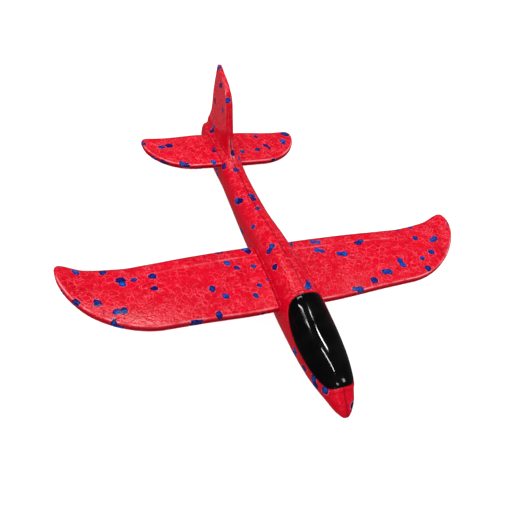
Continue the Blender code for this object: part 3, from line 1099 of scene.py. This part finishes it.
def turned_steel():
    """Plain steel with fine turning marks round the slug's axis."""
    made, tree, shader = new_material("turned_steel")
    place = tree.nodes.new("ShaderNodeTexCoord").outputs["Object"]
    stretch = tree.nodes.new("ShaderNodeVectorMath")
    stretch.operation = "MULTIPLY"
    stretch.inputs[1].default_value = (60, 6000, 60)
    tree.links.new(place, stretch.inputs[0])
    marks = noise(tree, stretch.outputs[0], 1.0, 3.0)
    tree.links.new(mix_colour(tree, marks, (0.42, 0.42, 0.43), (0.62, 0.62, 0.63)),
                   shader.inputs["Base Color"])
    tree.links.new(map_range(tree, marks, 0.3, 0.7, 0.28, 0.45), shader.inputs["Roughness"])
    shader.inputs["Metallic"].default_value = 1.0
    add_bump(tree, shader, marks, 0.2, 0.05 * MM)
    return made


# Stage, light and camera.

def floor():
    mesh = bpy.data.meshes.new("floor")
    reach = 6.0
    mesh.from_pydata([(-reach, -reach, 0), (reach, -reach, 0), (reach, reach, 0), (-reach, reach, 0)],
                     [], [(0, 1, 2, 3)])
    look, _, shader = new_material("pale_floor")
    shader.inputs["Base Color"].default_value = (0.93, 0.93, 0.93, 1)
    shader.inputs["Roughness"].default_value = 0.9
    shader.inputs["Specular IOR Level"].default_value = 0.1
    mesh.materials.append(look)
    made = new_object("floor", mesh)
    made.location.z = -0.3 * MM
    return made


def soft_box(name, place, aim, size, power):
    data = bpy.data.lights.new(name, "AREA")
    data.shape = "RECTANGLE"
    data.size, data.size_y = size
    data.energy = power
    made = new_object(name, data)
    made.location = place
    made.rotation_mode = "QUATERNION"
    made.rotation_quaternion = (Vector(aim) - Vector(place)).to_track_quat("-Z", "Y")
    made.visible_camera = False
    return made


def sun(name, strength):
    """An even light straight from above."""
    data = bpy.data.lights.new(name, "SUN")
    data.energy = strength
    return new_object(name, data)


def daylight(strength, shine):
    """Even light from all round, dimmer in reflections. The background behind the floor is white."""
    world = bpy.data.worlds.new("studio")
    world.use_nodes = True
    tree = world.node_tree
    light = tree.nodes["Background"]
    light.inputs["Color"].default_value = (1, 1, 1, 1)
    light.inputs["Strength"].default_value = strength
    ray = tree.nodes.new("ShaderNodeLightPath")
    shown = light.outputs[0]
    for kind, brightness in (("Is Glossy Ray", shine), ("Is Camera Ray", 1.0)):
        other = tree.nodes.new("ShaderNodeBackground")
        other.inputs["Color"].default_value = (1, 1, 1, 1)
        other.inputs["Strength"].default_value = brightness
        mix = tree.nodes.new("ShaderNodeMixShader")
        tree.links.new(ray.outputs[kind], mix.inputs["Fac"])
        tree.links.new(shown, mix.inputs[1])
        tree.links.new(other.outputs[0], mix.inputs[2])
        shown = mix.outputs[0]
    tree.links.new(shown, tree.nodes["World Output"].inputs["Surface"])
    bpy.context.scene.world = world


def lit_only(light, name, objects, shadows=True):
    """Let a light fall on these objects alone, and let only these stop it if it casts no shadows of
    the others."""
    group = bpy.data.collections.new(name)
    for piece in objects:
        group.objects.link(piece)
    light.light_linking.receiver_collection = group
    if not shadows:
        light.light_linking.blocker_collection = group


def mirror_point(station, degrees):
    """Where a light has to stand to shine from this point of the canopy into the camera."""
    angle = math.radians(degrees)
    step = 0.5 * MM
    here, later = (Vector(on_fuselage(station + k, angle, CANOPY_PROUD)[0]) for k in (0, step))
    beside = Vector(on_fuselage(station, angle + 0.01, CANOPY_PROUD)[0])
    normal = (later - here).cross(beside - here).normalized()
    if normal.z < 0:
        normal.negate()
    to_camera = (Vector(CAMERA_PLACE) - here).normalized()
    away = 2 * normal.dot(to_camera) * normal - to_camera
    return here, here + away * STRIP_DISTANCE


def strip_light(name, start, end, width, radiance, target):
    """A strip light whose reflection runs over the canopy between two of its points."""
    (first, light_start), (last, light_end) = mirror_point(*start), mirror_point(*end)
    middle = (light_start + light_end) / 2
    run = light_end - light_start
    size = (run.length, width)
    made = soft_box(name, middle, (first + last) / 2, size, radiance * math.pi * size[0] * width)
    facing = ((first + last) / 2 - middle).normalized()
    x_axis = (run - facing * run.dot(facing)).normalized()
    y_axis = (-facing).cross(x_axis)
    made.rotation_quaternion = Matrix((x_axis, y_axis, -facing)).transposed().to_quaternion()
    lit_only(made, name + "_on", [target])


def camera():
    azimuth, elevation, roll = (math.radians(turn) for turn in
                                (CAMERA_AZIMUTH, CAMERA_ELEVATION, CAMERA_ROLL))
    back = Vector((math.sin(azimuth) * math.cos(elevation),
                   -math.cos(azimuth) * math.cos(elevation), math.sin(elevation)))
    level = Vector((math.cos(azimuth), math.sin(azimuth), 0))
    upright = back.cross(level)
    right = level * math.cos(roll) + upright * math.sin(roll)
    turn = Matrix((right, back.cross(right), back)).transposed()
    data = bpy.data.cameras.new("camera")
    data.lens = CAMERA_LENS
    data.sensor_width = 36
    data.clip_start = 0.01
    made = new_object("camera", data)
    made.matrix_world = Matrix.Translation(CAMERA_PLACE) @ turn.to_4x4()
    bpy.context.scene.camera = made


def lights(glider, canopy, ground):
    """The studio's lights: soft boxes aimed at the glider, an even light that only the floor takes,
    and strips that show in the canopy alone."""
    for name, place, side, power, shows, lit in (
            ("overhead", (0.1, 0.1, 1.6), 1.8, 9.0, False, glider),
            ("key", (0.20, 0.44, 1.50), 0.36, 6.5, True, glider),
            ("shoulder", (-0.41, 0.90, 1.38), 0.22, 2.5, True, glider),
            ("top", (-0.05, 0.05, 1.6), 0.22, 3, True, glider),
            ("front", (-0.27, -1.28, 0.75), 0.25, 0.8, True, [*glider, canopy]),
            ("left", (-1.2, -0.3, 0.5), 0.7, 4, False, glider)):
        made = soft_box(name, place, (0, 0, 0), (side, side), power)
        made.visible_glossy = shows
        lit_only(made, "under_" + name, lit)
    lit_only(sun("floor_wash", 3.0), "under_wash", [ground], shadows=False)
    for name, start, end, width, radiance in (
            ("rear_strip", (82 * MM, 119), (65 * MM, 115), 0.012, 80),
            ("middle_strip", (59.5 * MM, 101.5), (43 * MM, 97), 0.05, 110),
            ("front_strip", (45 * MM, 110), (28 * MM, 101.7), 0.025, 100),
            ("front_glint", (21.5 * MM, 87), (19.5 * MM, 86), 0.12, 20),
            ("side_glint", (20 * MM, 109), (19 * MM, 104), 0.10, 20),
            ("rear_glint", (87.8 * MM, 115), (88 * MM, 104), 0.03, 22)):
        strip_light(name, start, end, width, radiance, canopy)


camera()
foam = bead_foam()
relief = bead_relief()
fuselage = fuselage_piece(foam)
wing = surface_piece("foam_wing", wing_at, WING_HALF_SPAN, WING_SECTION, CREASE_HEIGHT, foam)
tail = surface_piece("foam_tailplane", tail_at, TAIL_HALF_SPAN, TAIL_SECTION, 0.0, foam)
for piece, area_each, seed in ((fuselage, 420, 11), (wing, 320, 14), (tail, 260, 13)):
    mark_skin(piece)
    blue_beads(piece, area_each * MM ** 2, seed)
    piece.modifiers.new("beads", "NODES").node_group = relief
    apply_modifiers(piece)
canopy = canopy_piece(black_plastic())

for piece, body, node, slot in ((fuselage, "airframe", "fuselage", "bead_foam"),
                                (wing, "wing", "wing", "bead_foam"),
                                (tail, "tailplane", "tailplane", "bead_foam"),
                                (canopy, "airframe", "canopy", "black_plastic")):
    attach(piece, body)
    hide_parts(node)

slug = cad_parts["nose_weight"]
slug.data.materials.clear()
slug.data.materials.append(turned_steel())

ground = floor()
ground.visible_glossy = False
ground.visible_diffuse = False
daylight(0.44, 0.12)
lights([fuselage, wing, tail, slug], canopy, ground)
bpy.context.scene.view_settings.view_transform = "Standard"
